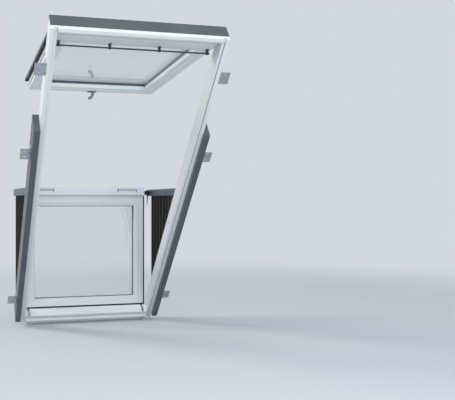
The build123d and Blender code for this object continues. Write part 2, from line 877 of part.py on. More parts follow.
# Latches: a shallow tray on each side of the transom and a lever that lifts out of it
with BuildPart() as latch_bases:
    for side in (-1, 1):
        with BuildSketch(face(lower, ledge_n)):
            with Locations((side * latch_x, latch_s)):
                RectangleRounded(latch_width, latch_height, latch_round)
        extrude(amount=latch_base_thickness)
        with BuildSketch(face(lower, ledge_n - latch_base_floor)):
            with Locations((side * latch_x, latch_s + latch_rim / 2)):
                Rectangle(latch_width - 2 * latch_rim, latch_height - latch_rim)
        extrude(amount=latch_base_thickness, mode=Mode.SUBTRACT)
        with BuildSketch(across(lower, side * latch_x)):
            with Locations((lever_s, lever_n)):
                Circle(latch_pin_radius + pin_clearance)
        extrude(amount=latch_width / 2 - latch_pin_wall, both=True, mode=Mode.SUBTRACT)


def latch_lever(side):
    half = latch_width / 2 - latch_rim - latch_lever_gap
    tip_s = latch_s + latch_height / 2 - latch_lever_gap
    with BuildPart() as piece:
        with BuildSketch(across(lower, side * latch_x)):
            with Locations((lever_s, lever_n)):
                Circle(latch_lever_thickness / 2)
            outline([
                (lever_s, lever_n + latch_lever_thickness / 2),
                (lever_s, lever_n - latch_lever_thickness / 2),
                (tip_s, lever_n - latch_lever_thickness / 2),
                (tip_s, lever_n - latch_lever_thickness / 2 + latch_tip_thickness),
            ])
        extrude(amount=half, both=True)
        with BuildSketch(across(lower, side * latch_x)):
            with Locations((lever_s, lever_n)):
                Circle(latch_pin_radius)
        extrude(amount=latch_width / 2 - latch_pin_wall - latch_lever_gap, both=True)
    return piece


# Railing: the handrail turns on a bracket at the top of the lower sash when that sash moves.
# The balusters hang on cross pins in its open channel, stay parallel by a notched tie bar that
# hooks over a pin on each of them, and fold against each other in the side pocket.
rail_x = half_width + rail_offset
rail_pivot = lower.from_local_coords((0, lower_high - rail_pivot_drop, -rail_pivot_n))
baluster_z = rail_pivot.Z - baluster_pivot_drop
tie_lean = radians(baluster_fold / 2)


def rail_section(y):
    """Section of the handrail at Y, with the axes X and Z about its pivot's height."""
    return Plane((0, y, rail_pivot.Z), x_dir=(1, 0, 0), z_dir=(0, -1, 0))


def baluster_head(index):
    """Y and Z of the pin that a baluster hangs on."""
    return (rail_pivot.Y - baluster_first - index * baluster_pitch, baluster_z)


def tie_pin(index):
    """Y and Z of the pin that joins a baluster to the tie bar."""
    y, z = baluster_head(index)
    return (y + tie_arm * sin(tie_lean), z + tie_arm * cos(tie_lean))


def handrail(side):
    x = side * rail_x
    front = rail_pivot.Y + rail_front
    back = rail_pivot.Y - rail_back
    inner_height = rail_height - rail_wall
    with BuildPart() as piece:
        with BuildSketch(rail_section(front)) as section:
            with Locations((x, 0)):
                Rectangle(rail_width, rail_height)
            fillet(section.vertices().group_by(Axis.Y)[-1], rail_round)
        extrude(amount=front - back)
        with BuildSketch(rail_section(front - rail_cap)) as hollow:
            with Locations((x, -rail_wall / 2)):
                Rectangle(rail_width - 2 * rail_wall, inner_height)
            fillet(hollow.vertices().group_by(Axis.Y)[-1], rail_round - rail_wall)
        extrude(amount=front - back - 2 * rail_cap, mode=Mode.SUBTRACT)
        with BuildSketch(upright(x)):
            with Locations((back + runner_set_back, rail_pivot.Z)):
                Circle(runner_radius)
        extrude(amount=rail_width / 2 + runner_side, both=True)
        with BuildSketch(upright(x)):
            with Locations(*[baluster_head(k) for k in range(baluster_count)]):
                Circle(baluster_pin_radius)
        extrude(amount=rail_width / 2 - rail_wall - rail_pin_gap, both=True)
        with BuildSketch(upright(x)):
            with Locations((rail_pivot.Y, rail_pivot.Z)):
                Circle(rail_pin_radius + pin_clearance)
        extrude(amount=rail_width, both=True, mode=Mode.SUBTRACT)
    return piece


def baluster(side, index):
    head = baluster_head(index)
    pin = tie_pin(index)
    foot_z = (baluster_foot_n - frame_depth / 2 - head[0] * sin(pitch)) / cos(pitch)
    top_z = head[1] + baluster_thickness / 2
    inner = rail_x - baluster_width / 2
    lean = (sin(tie_lean), cos(tie_lean))
    head_side = (lean[1] * baluster_thickness / 2, -lean[0] * baluster_thickness / 2)
    pin_side = (lean[1] * ear_width / 2, -lean[0] * ear_width / 2)
    tip = (pin[0] + lean[0] * ear_width / 2, pin[1] + lean[1] * ear_width / 2)
    with BuildPart() as piece:
        with BuildSketch(upright(side * rail_x)) as bar:
            with Locations((head[0], (top_z + foot_z) / 2)):
                Rectangle(baluster_thickness, top_z - foot_z)
            chamfer(bar.vertices().group_by(Axis.Y)[-1], baluster_bevel)
        extrude(amount=baluster_width / 2, both=True)
        with BuildSketch(upright(side * inner)):
            outline([
                (head[0] - head_side[0], head[1] - head_side[1]),
                (pin[0] - pin_side[0], pin[1] - pin_side[1]),
                (tip[0] - pin_side[0] / 2, tip[1] - pin_side[1] / 2),
                (tip[0] + pin_side[0] / 2, tip[1] + pin_side[1] / 2),
                (pin[0] + pin_side[0], pin[1] + pin_side[1]),
                (head[0] + head_side[0], head[1] + head_side[1]),
            ])
        extrude(amount=side * ear_depth)
        with BuildSketch(upright(side * (inner + ear_depth))):
            with Locations(pin):
                Circle(tie_pin_radius)
        extrude(amount=side * (tie_gap + tie_thickness + tie_pin_end))
        with BuildSketch(upright(side * rail_x)):
            with Locations(head):
                Circle(baluster_pin_radius + pin_clearance)
        extrude(amount=baluster_width, both=True, mode=Mode.SUBTRACT)
    return piece


def tie_bar(side):
    first = tie_pin(0)
    last = tie_pin(baluster_count - 1)
    inner = rail_x - baluster_width / 2 + ear_depth + tie_gap
    notch = 2 * (tie_pin_radius + pin_clearance)
    with BuildPart() as piece:
        with BuildSketch(upright(side * inner)):
            with Locations(((first[0] + last[0]) / 2, first[1] + tie_rise)):
                Rectangle(first[0] - last[0] + tie_height, tie_height)
            for index in range(baluster_count):
                y, z = tie_pin(index)
                with Locations((y, z + (notch - tie_height) / 2)):
                    Rectangle(notch, tie_height, mode=Mode.SUBTRACT)
        extrude(amount=side * tie_thickness)
    return piece


# Folded sheet brackets that carry the handrails over the edge of the frame
with BuildPart() as rail_brackets:
    bracket_high = lower_high - bracket_top_gap - cladding_overlap
    bracket_low = bracket_high - bracket_length
    seat_high_n = transom_outer_n + bracket_sheet
    web_in = half_width + bracket_side_gap
    web_out = web_in + bracket_sheet
    for side in (-1, 1):
        with BuildSketch(face(lower, seat_high_n)):
            with Locations((side * (web_out - bracket_reach / 2), (bracket_low + bracket_high) / 2)):
                Rectangle(bracket_reach, bracket_length)
        extrude(amount=bracket_sheet)
        with BuildSketch(across(lower, side * web_in)):
            outline([
                (bracket_high, seat_high_n),
                (bracket_high, rail_pivot_n - bracket_tip),
                (bracket_low, rail_pivot_n - bracket_tip),
                (bracket_low - bracket_tail, seat_high_n),
            ])
        extrude(amount=-side * bracket_sheet)
        with BuildSketch(across(lower, side * web_out)):
            with Locations((lower_high - rail_pivot_drop, rail_pivot_n)):
                Circle(rail_pin_radius)
        extrude(amount=-side * (rail_x + rail_width / 2 - web_out))

# Gooseneck arms: from the bottom rail through the slots in the sill to the pins
with BuildPart() as sill_hinge_arms:
    foot_s = lower_low - arm_foot_thickness
    for centre in (-lower_hinge_x, lower_hinge_x):
        with BuildSketch(across(lower, centre)):
            with BuildLine():
                back_end = (lower_pivot[0] - arm_eye_radius, lower_pivot[1])
                throat_start = (lower_pivot[0], lower_pivot[1] - arm_eye_radius)
                back_mid = (
                    (foot_s + lower_pivot[0]) / 2 - arm_back_bulge,
                    (arm_foot_high_n + lower_pivot[1]) / 2 + arm_back_bulge,
                )
                ThreePointArc((foot_s, arm_foot_high_n), back_mid, back_end)
                Line(back_end, throat_start)
                TangentArc(throat_start, (foot_s, arm_foot_low_n), tangent=(1, 0))
                Polyline(
                    (foot_s, arm_foot_low_n),
                    (lower_low, arm_foot_low_n),
                    (lower_low, arm_foot_high_n),
                    (foot_s, arm_foot_high_n),
                )
            make_face()
            with Locations(lower_pivot):
                Circle(arm_eye_radius)
                Circle(lower_pin_radius + pin_clearance, mode=Mode.SUBTRACT)
        extrude(amount=arm_thickness / 2, both=True)

keep(frame_top, "frame_top")
keep(frame_sill, "frame_sill")
keep(frame_seal, "frame_seal")
keep(frame_casings, "frame_casings")
keep(mounting_brackets, "mounting_brackets")
keep(top_hinge_plates, "top_hinge_plates")
keep(sill_hinge_brackets, "sill_hinge_brackets")
keep(upper_top_rail, "upper_top_rail")
keep(upper_bottom_rail, "upper_bottom_rail")
keep(upper_hinge_shoes, "upper_hinge_shoes")
keep(lower_bottom_rail, "lower_bottom_rail")
keep(lower_top_rail, "lower_top_rail")
keep(panes(upper, upper_opening), "upper_panes")
keep(panes(lower, lower_opening), "lower_panes")
keep(spacer(upper, upper_opening), "upper_spacer")
keep(spacer(lower, lower_opening), "lower_spacer")
keep(glazing_seals(upper, upper_opening), "upper_glazing_seals")
keep(glazing_seals(lower, lower_opening), "lower_glazing_seals")
upper_cladding_low = upper_low - cladding_overlap
upper_cladding_high = upper_pivot[0] - cladding_hinge_gap
keep(cladding(upper, upper_cladding_low, upper_cladding_high, upper_opening), "upper_cladding")
lower_cladding_low = lower_low - cladding_overlap
lower_cladding_high = transom_low - cladding_edge
keep(cladding(lower, lower_cladding_low, lower_cladding_high, lower_opening), "lower_cladding")
keep(vent_flap, "vent_flap")
keep(flap_brackets, "flap_brackets")
keep(control_bar, "control_bar")
keep(handle_plate, "handle_plate")
keep(handle_lever, "handle_lever")
keep(latch_bases, "latch_bases")
keep(rail_brackets, "rail_brackets")
keep(sill_hinge_arms, "sill_hinge_arms")

for name, side in sides:
    keep(frame_side(side), f"frame_{name}")
    keep(pocket(side), f"pocket_{name}")
    keep(upper_stile(side), f"upper_stile_{name}")
    keep(lower_stile(side), f"lower_stile_{name}")
    keep(latch_lever(side), f"latch_lever_{name}")
    keep(handrail(side), f"handrail_{name}")
    keep(tie_bar(side), f"tie_bar_{name}")
    for index in range(baluster_count):
        keep(baluster(side, index), f"baluster_{name}_{index + 1}")
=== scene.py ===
from math import cos, pi, radians, sin

import bmesh
import bpy
from mathutils import Matrix, Vector


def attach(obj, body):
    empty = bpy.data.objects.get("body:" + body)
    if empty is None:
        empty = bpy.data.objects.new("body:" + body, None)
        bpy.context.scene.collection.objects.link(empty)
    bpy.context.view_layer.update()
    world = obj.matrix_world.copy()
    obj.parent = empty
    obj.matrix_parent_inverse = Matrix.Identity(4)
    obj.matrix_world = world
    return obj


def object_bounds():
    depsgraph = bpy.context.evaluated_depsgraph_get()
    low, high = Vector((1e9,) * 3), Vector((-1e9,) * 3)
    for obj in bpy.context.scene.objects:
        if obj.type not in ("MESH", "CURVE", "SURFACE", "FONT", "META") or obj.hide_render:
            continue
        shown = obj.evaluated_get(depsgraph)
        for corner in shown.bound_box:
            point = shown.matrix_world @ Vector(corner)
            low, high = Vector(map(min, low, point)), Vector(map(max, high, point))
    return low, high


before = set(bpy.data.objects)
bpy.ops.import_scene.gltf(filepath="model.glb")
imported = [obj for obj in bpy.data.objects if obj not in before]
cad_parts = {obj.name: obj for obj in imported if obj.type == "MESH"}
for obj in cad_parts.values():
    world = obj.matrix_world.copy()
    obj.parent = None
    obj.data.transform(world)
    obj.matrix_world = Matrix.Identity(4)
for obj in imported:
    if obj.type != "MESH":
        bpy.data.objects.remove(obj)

cad_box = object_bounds()

# Fixed frame: grooved boards of laminated pine, glued and screwed at the corners.
# They are sprayed with white water-based lacquer, which leaves a satin skin over a faint grain.
MM = 0.001
ROOF_PITCH = 43.0
FRAME_INNER = 434.0
LACQUER_WHITE = "#F6F6F5"
LACQUER_COOL = "#ECEEF0"
LACQUER_JOINT = "#9A9C9E"
LACQUER_ROUGH = (0.34, 0.46)
NOISE_BAND = (0.3, 0.7)
GRAIN_WIDTH = 3.0
GRAIN_LENGTH = 160.0
GRAIN_RELIEF = 0.12
SPRAY_PEEL = 1.6
SPRAY_SHARE = 0.25
BOARD_CLOUD = 350.0
JOINT_WIDTH = 0.7
JOINT_SHADE = 0.35
JOINT_DEPTH = 4.0
ARRIS = 1.2
ARRIS_SAMPLES = 4


def linear(hex_colour):
    """Linear colour of an sRGB hex value."""
    parts = [int(hex_colour[i:i + 2], 16) / 255 for i in (1, 3, 5)]
    return tuple(p / 12.92 if p <= 0.04045 else ((p + 0.055) / 1.055) ** 2.4 for p in parts) + (1.0,)


def per_metre(size):
    """Scale of a texture whose features are about this many millimetres wide."""
    return 1 / (size * MM)


def add(tree, kind, sockets=None, **settings):
    """Adds a shader node and returns its outputs. A socket gets a value, or the output that feeds it."""
    new = tree.nodes.new("ShaderNode" + kind)
    for name, value in settings.items():
        setattr(new, name, value)
    for name, value in (sockets or {}).items():
        if isinstance(value, bpy.types.NodeSocket):
            tree.links.new(value, new.inputs[name])
        else:
            new.inputs[name].default_value = value
    return new.outputs


def material(name, constants):
    """New material with these constants on its shader. Returns it, its tree and the shader."""
    made = bpy.data.materials.new(name)
    made.use_nodes = True
    shader = made.node_tree.nodes["Principled BSDF"]
    for socket, value in constants.items():
        shader.inputs[socket].default_value = value
    return made, made.node_tree, shader


def relief(tree, shader, height, depth, strength=1.0):
    """Gives the surface a relief of this depth in millimetres, and edges rounded by the arris."""
    soft = add(tree, "Bevel", {"Radius": ARRIS * MM}, samples=ARRIS_SAMPLES)["Normal"]
    settings = {"Height": height, "Distance": depth * MM, "Strength": strength, "Normal": soft}
    tree.links.new(add(tree, "Bump", settings)["Normal"], shader.inputs["Normal"])


def lacquered_timber(name, tilt, seam, upright=True):
    """White lacquer on a leaf at this tilt. The grain runs up or across, with a joint at x = seam."""
    made, tree, shader = material(name, {"IOR": 1.5, "Coat Weight": 0.15, "Coat Roughness": 0.25})
    place = add(tree, "TexCoord")["Object"]
    place = add(tree, "Mapping", {"Vector": place, "Rotation": (radians(tilt), 0, 0)})["Vector"]
    stretch = GRAIN_WIDTH / GRAIN_LENGTH
    along_grain = (1, stretch, 1) if upright else (stretch, 1, 1)
    drawn = add(tree, "VectorMath", {0: place, 1: along_grain}, operation="MULTIPLY")[0]
    grain = add(tree, "TexNoise", {
        "Vector": drawn, "Scale": per_metre(GRAIN_WIDTH), "Detail": 4.0, "Roughness": 0.6,
    })["Fac"]
    spray = add(tree, "TexNoise", {
        "Vector": place, "Scale": per_metre(SPRAY_PEEL), "Detail": 1.0, "Roughness": 0.55,
    })["Fac"]
    board = add(tree, "TexNoise", {
        "Vector": place, "Scale": per_metre(BOARD_CLOUD), "Detail": 3.0, "Roughness": 0.55,
    })["Fac"]

    x = add(tree, "SeparateXYZ", {0: place})["X"]
    from_middle = add(tree, "Math", {0: x}, operation="ABSOLUTE")[0]
    past_seam = add(tree, "Math", {0: from_middle, 1: seam * MM}, operation="SUBTRACT")[0]
    off_seam = add(tree, "Math", {0: past_seam}, operation="ABSOLUTE")[0]
    joint = add(tree, "MapRange", {
        "Value": off_seam, "From Min": 0.0, "From Max": JOINT_WIDTH * MM, "To Min": 1.0, "To Max": 0.0,
    })["Result"]

    low, high = NOISE_BAND
    cloud = add(tree, "MapRange", {"Value": board, "From Min": low, "From Max": high})["Result"]
    pair = {0: cloud, 6: linear(LACQUER_WHITE), 7: linear(LACQUER_COOL)}
    tone = add(tree, "Mix", pair, data_type="RGBA")[2]
    shade = add(tree, "Math", {0: joint, 1: JOINT_SHADE}, operation="MULTIPLY")[0]
    tone = add(tree, "Mix", {0: shade, 6: tone, 7: linear(LACQUER_JOINT)}, data_type="RGBA")[2]
    tree.links.new(tone, shader.inputs["Base Color"])
    smooth, dull = LACQUER_ROUGH
    rough = add(tree, "MapRange", {
        "Value": grain, "From Min": low, "From Max": high, "To Min": smooth, "To Max": dull,
    })["Result"]
    tree.links.new(rough, shader.inputs["Roughness"])

    peel = add(tree, "Math", {0: spray, 1: SPRAY_SHARE}, operation="MULTIPLY")[0]
    skin = add(tree, "Math", {0: grain, 1: peel}, operation="ADD")[0]
    groove = add(tree, "Math", {0: joint, 1: JOINT_DEPTH}, operation="MULTIPLY")[0]
    height = add(tree, "Math", {0: skin, 1: groove}, operation="SUBTRACT")[0]
    relief(tree, shader, height, GRAIN_RELIEF, strength=0.6)
    return made


def dress(finish, *names):
    """Gives CAD nodes this finish."""
    for name in names:
        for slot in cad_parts[name].material_slots:
            slot.material = finish


frame_side_timber = lacquered_timber("lacquered_pine_frame_sides", ROOF_PITCH, FRAME_INNER)
frame_cross_timber = lacquered_timber("lacquered_pine_frame_ends", ROOF_PITCH, FRAME_INNER, upright=False)
dress(frame_side_timber, "frame_left", "frame_right")
dress(frame_cross_timber, "frame_top", "frame_sill")

# Weather seals: extruded EPDM rubber, pressed into grooves of the frame. It is a dull black with a
# soft grey sheen, uneven by dust. The step for the lining has cords pressed into its corner, of
# the same rubber at the head and of matt grey foam at the sides. These dark cords are painted
# shade: they stand in for the shadow gap where a lining would meet the frame.
FRAME_DEPTH = 106.0
RUBBER_BLACK = ("#17191C", "#2B3036")
RUBBER_ROUGH = (0.55, 0.75)
DUST_CLOUD = 30.0
RUBBER_SKIN = 1.5
RUBBER_RELIEF = 0.05
SHADE_GAP_FOAM_GREY = ("#7E8388", "#989CA0")
LOWER_PIVOT = (-32.0, 30.0)
UPPER_PIVOT = (2466.0, 104.0)
UPPER_OPEN = 40.0
LINING_HALF = 451.0
LINING_LOW = 20.0
LINING_HIGH = 2500.0
LINING_STEP = 14.0
HEAD_SHADE_CORD = 7.0
SIDE_SHADE_CORD = 2.6
ARC_STEPS = 8
SHARP_ANGLE = 30.0


def drift(tree, shader, pattern, colours, roughness, band=NOISE_BAND):
    """Lets colour and roughness drift from first to second while a pattern rises through a band."""
    low, high = band
    share = add(tree, "MapRange", {"Value": pattern, "From Min": low, "From Max": high})["Result"]
    first, second = (linear(colour) for colour in colours)
    tone = add(tree, "Mix", {0: share, 6: first, 7: second}, data_type="RGBA")[2]
    start, end = roughness
    rough = add(tree, "MapRange", {
        "Value": pattern, "From Min": low, "From Max": high, "To Min": start, "To Max": end,
    })["Result"]
    tree.links.new(tone, shader.inputs["Base Color"])
    tree.links.new(rough, shader.inputs["Roughness"])


def rubber(name, colours):
    """Rubber or foam with a fine skin, greyed in clouds by dust."""
    made, tree, shader = material(name, {"IOR": 1.5, "Specular IOR Level": 0.35, "Sheen Weight": 0.1})
    place = add(tree, "TexCoord")["Object"]
    dust = add(tree, "TexNoise", {
        "Vector": place, "Scale": per_metre(DUST_CLOUD), "Detail": 3.0, "Roughness": 0.55,
    })["Fac"]
    skin = add(tree, "TexNoise", {
        "Vector": place, "Scale": per_metre(RUBBER_SKIN), "Detail": 2.0, "Roughness": 0.55,
    })["Fac"]
    drift(tree, shader, dust, colours, RUBBER_ROUGH)
    relief(tree, shader, skin, RUBBER_RELIEF)
    return made


def slope_place(s, n):
    """Place of s and n on the closed window, in millimetres in the row frame."""
    pitch = radians(ROOF_PITCH)
    depth = n - FRAME_DEPTH / 2
    return Vector((0, depth * sin(pitch) - s * cos(pitch), s * sin(pitch) + depth * cos(pitch)))


def leaf(tilt, pivot):
    """Matrix from x, s and n in millimetres on a leaf at this tilt to metres in the row frame."""
    up = Vector((0, -cos(radians(tilt)), sin(radians(tilt))))
    out = Vector((0, sin(radians(tilt)), cos(radians(tilt))))
    origin = slope_place(*pivot) - up * pivot[0] - out * pivot[1]
    turn = Matrix((Vector((1, 0, 0)), up, out)).transposed().to_4x4()
    return Matrix.Scale(MM, 4) @ Matrix.Translation(origin) @ turn


slope = leaf(ROOF_PITCH, (0, 0))
upper = leaf(ROOF_PITCH - UPPER_OPEN, UPPER_PIVOT)
lower = leaf(90.0, LOWER_PIVOT)


def stack(bm, rings):
    """Joins rings of equal count, each a list of points, and caps the first and the last."""
    made = [[bm.verts.new(point) for point in ring] for ring in rings]
    count = len(made[0])
    for ring, following in zip(made, made[1:]):
        for i in range(count):
            j = (i + 1) % count
            bm.faces.new((ring[i], ring[j], following[j], following[i]))
    bm.faces.new(made[-1])
    bm.faces.new(tuple(reversed(made[0])))


def up_strip(bm, profile, low, high):
    """Extrudes a profile in x and n up the leaf."""
    stack(bm, [[(x, s, n) for x, n in profile] for s in (low, high)])


def cross_strip(bm, profile, half):
    """Extrudes a profile in s and n across the leaf."""
    stack(bm, [[(x, s, n) for s, n in profile] for x in (-half, half)])


def corner_cord(edge, depth, size):
    """Quarter-round profile that fills the corner at an edge and a depth. Negative edges mirror it."""
    way = 1 if edge > 0 else -1
    centre = edge - way * size
    bend = [pi / 2 * i / ARC_STEPS for i in range(ARC_STEPS + 1)]
    return [(edge, depth)] + [(centre + way * size * (1 - cos(a)), depth - size * sin(a)) for a in bend]


def piece(name, leaf_matrix, draw, finish, body):
    """Piece whose mesh the draw function fills in millimetres on a leaf. It rides on the body."""
    bm = bmesh.new()
    draw(bm)
    bmesh.ops.transform(bm, matrix=leaf_matrix, verts=bm.verts)
    bmesh.ops.recalc_face_normals(bm, faces=bm.faces)
    mesh = bpy.data.meshes.new(name)
    bm.to_mesh(mesh)
    bm.free()
    made = bpy.data.objects.new(name, mesh)
    bpy.context.scene.collection.objects.link(made)
    mesh.materials.append(finish)
    for polygon in mesh.polygons:
        polygon.use_smooth = True
    mesh.set_sharp_from_angle(angle=radians(SHARP_ANGLE))
    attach(made, body)
    return made


# Painted shade: the side cords draw the lining's shadow gap as a grey line.
def draw_side_shade_cords(bm):
    for edge in (-LINING_HALF, LINING_HALF):
        up_strip(bm, corner_cord(edge, LINING_STEP, SIDE_SHADE_CORD), LINING_LOW, LINING_HIGH)


def draw_head_shade_cord(bm):
    cross_strip(bm, corner_cord(LINING_HIGH, LINING_STEP, HEAD_SHADE_CORD), FRAME_INNER)


black_rubber = rubber("epdm_rubber", RUBBER_BLACK)
shade_gap_foam = rubber("painted_shade_foam_cord", SHADE_GAP_FOAM_GREY)
dress(black_rubber, "frame_seal")
# The lining cords are dark lines, painted shade for the lining's shadow gap.
piece("lining_side_shade_cords", slope, draw_side_shade_cords, shade_gap_foam, "frame")
piece("lining_head_shade_cord", slope, draw_head_shade_cord, black_rubber, "frame")

# Side pockets and casings: sheet aluminium folded on a press, coil coated in dark grey.
# The coat is satin with a fine orange peel, and it is a little paler where rain has left dust.
COAT_GREY = ("#4E5356", "#5C6164")
COAT_ROUGH = (0.38, 0.5)
COAT_CLOUD = 220.0
COAT_PEEL = 1.2
COAT_RELIEF = 0.03


def coil_coat(name):
    """Baked coat on sheet metal."""
    made, tree, shader = material(name, {"IOR": 1.5, "Specular IOR Level": 0.55})
    place = add(tree, "TexCoord")["Object"]
    cloud = add(tree, "TexNoise", {
        "Vector": place, "Scale": per_metre(COAT_CLOUD), "Detail": 4.0, "Roughness": 0.55,
    })["Fac"]
    peel = add(tree, "TexNoise", {
        "Vector": place, "Scale": per_metre(COAT_PEEL), "Detail": 1.0, "Roughness": 0.55,
    })["Fac"]
    drift(tree, shader, cloud, COAT_GREY, COAT_ROUGH)
    relief(tree, shader, peel, COAT_RELIEF)
    return made


grey_coat = coil_coat("coil_coated_aluminium")
dress(grey_coat, "pocket_left", "pocket_right", "frame_casings")

# Mounting brackets, hinge plates, shoes, arms and tie bars: pressed steel, zinc plated.
# The zinc crystals show as pale flakes some millimetres wide, with different shine.
ZINC_GREY = ("#C6CACC", "#A5AAAD")
ZINC_ROUGH = (0.32, 0.5)
FULL_BAND = (0.0, 1.0)
ZINC_FLAKE = 7.0
ZINC_PIT = 0.8
ZINC_RELIEF = 0.02


def zinc_plate(name):
    """Zinc whose crystals differ in shine."""
    made, tree, shader = material(name, {"Metallic": 1.0})
    place = add(tree, "TexCoord")["Object"]
    flakes = {"Vector": place, "Scale": per_metre(ZINC_FLAKE)}
    crystal = add(tree, "TexVoronoi", flakes, feature="F1")["Color"]
    tint = add(tree, "SeparateColor", {0: crystal})[0]
    pits = add(tree, "TexNoise", {
        "Vector": place, "Scale": per_metre(ZINC_PIT), "Detail": 1.0, "Roughness": 0.55,
    })["Fac"]
    drift(tree, shader, tint, ZINC_GREY, ZINC_ROUGH, FULL_BAND)
    relief(tree, shader, pits, ZINC_RELIEF)
    return made


zinc = zinc_plate("zinc_plated_steel")
dress(zinc, "mounting_brackets", "top_hinge_plates", "sill_hinge_brackets", "upper_hinge_shoes",
      "sill_hinge_arms", "tie_bar_left", "tie_bar_right")

# Fasteners of the frame: pan head screws with a cross recess, turned from zinc plated steel, and
# spring clips on the lower hinge pins. The casings have screws painted like the sheet.
# Each size here is the radius of the head and its height.
FRAME_LENGTH = 2520.0
SCREW_SIDES = 24
BRACKETS = ((260.0, 506.0), (1640.0, 506.0), (2250.0, 471.0))
BRACKET_SHEET = 3.0
BRACKET_SCREW_STEP = 24.0
BRACKET_SCREW_N = 40.0
BRACKET_SCREW = (5.0, 3.0)
HINGE_PLATE_SHEET = 2.5
HINGE_PLATE_STATIONS = (2438.0, 2452.0)
HINGE_PLATE_N = 88.0
HINGE_PLATE_SCREW = (3.2, 0.5)
LOWER_HINGE_X = 408.0
EAR_SCREW_X = 20.0
EAR_FOOT_S = -4.0
EAR_SCREW_ROWS = (17.0, 41.0)
EAR_SCREW = (3.5, 2.2)
EAR_OUT = 12.0
PIN_CLIP = (7.5, 1.2)
CASING_SHEET = 1.5
HEAD_CASING_ROW = (-400.0, -200.0, 0.0, 200.0, 400.0)
HEAD_CASING_N = 60.0
SILL_CASING_ROW = (-300.0, -100.0, 100.0, 300.0)
SILL_CASING_N = 84.0
CASING_SCREW = (4.0, 1.8)
DOWN_SLOPE = (0, -1, 0)
UP_SLOPE = (0, 1, 0)
SIDES = (-1, 1)


def facing(place, normal):
    """Matrix of a local frame at a place whose z axis is the normal."""
    return Matrix.Translation(place) @ Vector(normal).to_track_quat("Z", "Y").to_matrix().to_4x4()


def circle(radius, height):
    """Ring of points about the axis at this height."""
    turn = [2 * pi * i / SCREW_SIDES for i in range(SCREW_SIDES)]
    return [(radius * cos(angle), radius * sin(angle), height) for angle in turn]


def cross(radius, height):
    """Outline of a cross recess with as many points as a ring. Its notches reach in to 0.36 of it."""
    points = []
    for i in range(SCREW_SIDES):
        angle = 2 * pi * i / SCREW_SIDES
        reach = radius * (0.36 + 0.64 * max(0.0, cos(2 * angle) ** 2 * 2 - 1))
        points.append((reach * cos(angle), reach * sin(angle), height))
    return points


def seated(bm, place, normal, rings):
    """Stack of rings that stands on a place, with its axis along the normal."""
    matrix = facing(place, normal)
    stack(bm, [[matrix @ Vector(point) for point in ring] for ring in rings])


def screw(bm, place, normal, radius, height):
    seated(bm, place, normal, [
        circle(radius, 0),
        circle(radius, 0.35 * height),
        circle(0.86 * radius, 0.75 * height),
        circle(0.6 * radius, height),
        cross(0.55 * radius, height),
        cross(0.4 * radius, 0.35 * height),
    ])


def spring_clip(bm, place, normal, radius, height):
    seated(bm, place, normal, [
        circle(radius, 0),
        circle(radius, 0.8 * height),
        circle(0.94 * radius, height),
        circle(0.62 * radius, height),
        circle(0.6 * radius, 0.3 * height),
    ])


def fasteners(name, leaf_matrix, places, normal, body, size, head=screw, finish=zinc):
    """Fasteners of one radius and height at all these places. The normal may depend on the place."""
    def draw(bm):
        for place in places:
            head(bm, place, normal(place) if callable(normal) else normal, *size)
    return piece(name, leaf_matrix, draw, finish, body)


def away_from(middle):
    """Normal across the window, away from this x."""
    def normal(place):
        return (1 if place[0] > middle else -1, 0, 0)
    return normal


def inward(place):
    return (-1 if place[0] > 0 else 1, 0, 0)


outward = away_from(0.0)
fasteners("bracket_screws", slope, [
    (side * (root + BRACKET_SHEET), station + way * BRACKET_SCREW_STEP, BRACKET_SCREW_N)
    for station, root in BRACKETS for side in SIDES for way in SIDES
], outward, "frame", BRACKET_SCREW)
fasteners("hinge_plate_screws", slope, [
    (side * (FRAME_INNER - HINGE_PLATE_SHEET), s, HINGE_PLATE_N)
    for side in SIDES for s in HINGE_PLATE_STATIONS
], inward, "frame", HINGE_PLATE_SCREW)
fasteners("hinge_ear_screws", slope, [
    (side * LOWER_HINGE_X + way * EAR_SCREW_X, EAR_FOOT_S, n)
    for side in SIDES for way in SIDES for n in EAR_SCREW_ROWS
], DOWN_SLOPE, "frame", EAR_SCREW)
for name, way, facing_way in (("inner", -1, inward), ("outer", 1, outward)):
    fasteners(f"hinge_pin_clips_{name}", slope, [
        (side * (LOWER_HINGE_X + way * EAR_OUT), *LOWER_PIVOT) for side in SIDES
    ], facing_way, "frame", PIN_CLIP, spring_clip)
for name, row, s, n, normal in (
    ("head", HEAD_CASING_ROW, FRAME_LENGTH + CASING_SHEET, HEAD_CASING_N, UP_SLOPE),
    ("sill", SILL_CASING_ROW, -CASING_SHEET, SILL_CASING_N, DOWN_SLOPE),
):
    fasteners(f"{name}_casing_screws", slope, [(x, s, n) for x in row], normal, "frame", CASING_SCREW,
              screw, grey_coat)

# Strikers and catches: the strikers on the frame's inner faces are capped with turned steel, and
# the catches on its outer faces with wedges of moulded nylon, which is black with an even, soft shine.
STRIKER = (990.0, 56.0)
STRIKER_CAP = (6.5, 2.9)
CATCH_S = 783.0
CATCH_HALF = 13.6
CATCH_OUTLINE = ((454.4, 106.0), (467.6, 106.0), (467.6, 124.6), (459.5, 124.6))
PAINT_CLOUD = 60.0
PAINT_PEEL = 0.9
PAINT_RELIEF = 0.03
ROUGH_DRIFT = 0.05
MOULD_SKIN = 0.6
NYLON_BLACK = ("#2A2C2F", "#34373A")


def smooth_skin(name, colours, rough, peel=PAINT_PEEL):
    """Sprayed or moulded skin with a fine peel, this rough, and of a second tone in clouds."""
    made, tree, shader = material(name, {"IOR": 1.5, "Coat Weight": 0.1, "Coat Roughness": 0.3})
    place = add(tree, "TexCoord")["Object"]
    cloud = add(tree, "TexNoise", {
        "Vector": place, "Scale": per_metre(PAINT_CLOUD), "Detail": 3.0, "Roughness": 0.55,
    })["Fac"]
    skin = add(tree, "TexNoise", {
        "Vector": place, "Scale": per_metre(peel), "Detail": 1.0, "Roughness": 0.55,
    })["Fac"]
    drift(tree, shader, cloud, colours, (rough - ROUGH_DRIFT, rough + ROUGH_DRIFT))
    relief(tree, shader, skin, PAINT_RELIEF)
    return made


